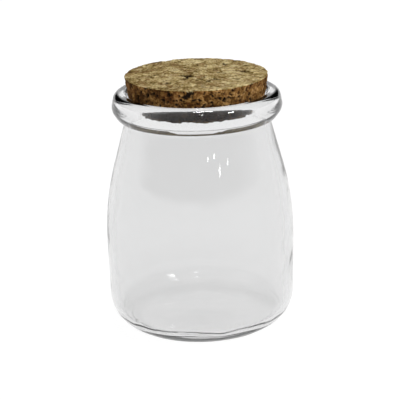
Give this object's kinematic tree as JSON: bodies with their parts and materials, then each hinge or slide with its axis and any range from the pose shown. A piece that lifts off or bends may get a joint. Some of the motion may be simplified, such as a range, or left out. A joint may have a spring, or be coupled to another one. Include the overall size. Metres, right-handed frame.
{
  "type": "glass condiment jar with cork stopper",
  "caption": "Small clear glass condiment jar with a rounded heel, a body that narrows to a rolled rim, and a tapered pressed-cork stopper in its mouth.",
  "frame": {"origin": "on the axis, in the plane of the foot ring that the jar stands on", "axes": "+Z is the axis of the turned jar and stopper, pointing up through the mouth; X and Y are alike"},
  "size_m": [0.0584, 0.0584, 0.0795],
  "materials": {
    "clear_glass": "clear, smooth, fire-polished",
    "pressed_cork": "pressed granular cork, dry and unfinished, with small open pits"
  },
  "bodies": {
    "root": {"glass_jar": "clear_glass", "cork_stopper": "pressed_cork"}
  },
  "joints": []
}
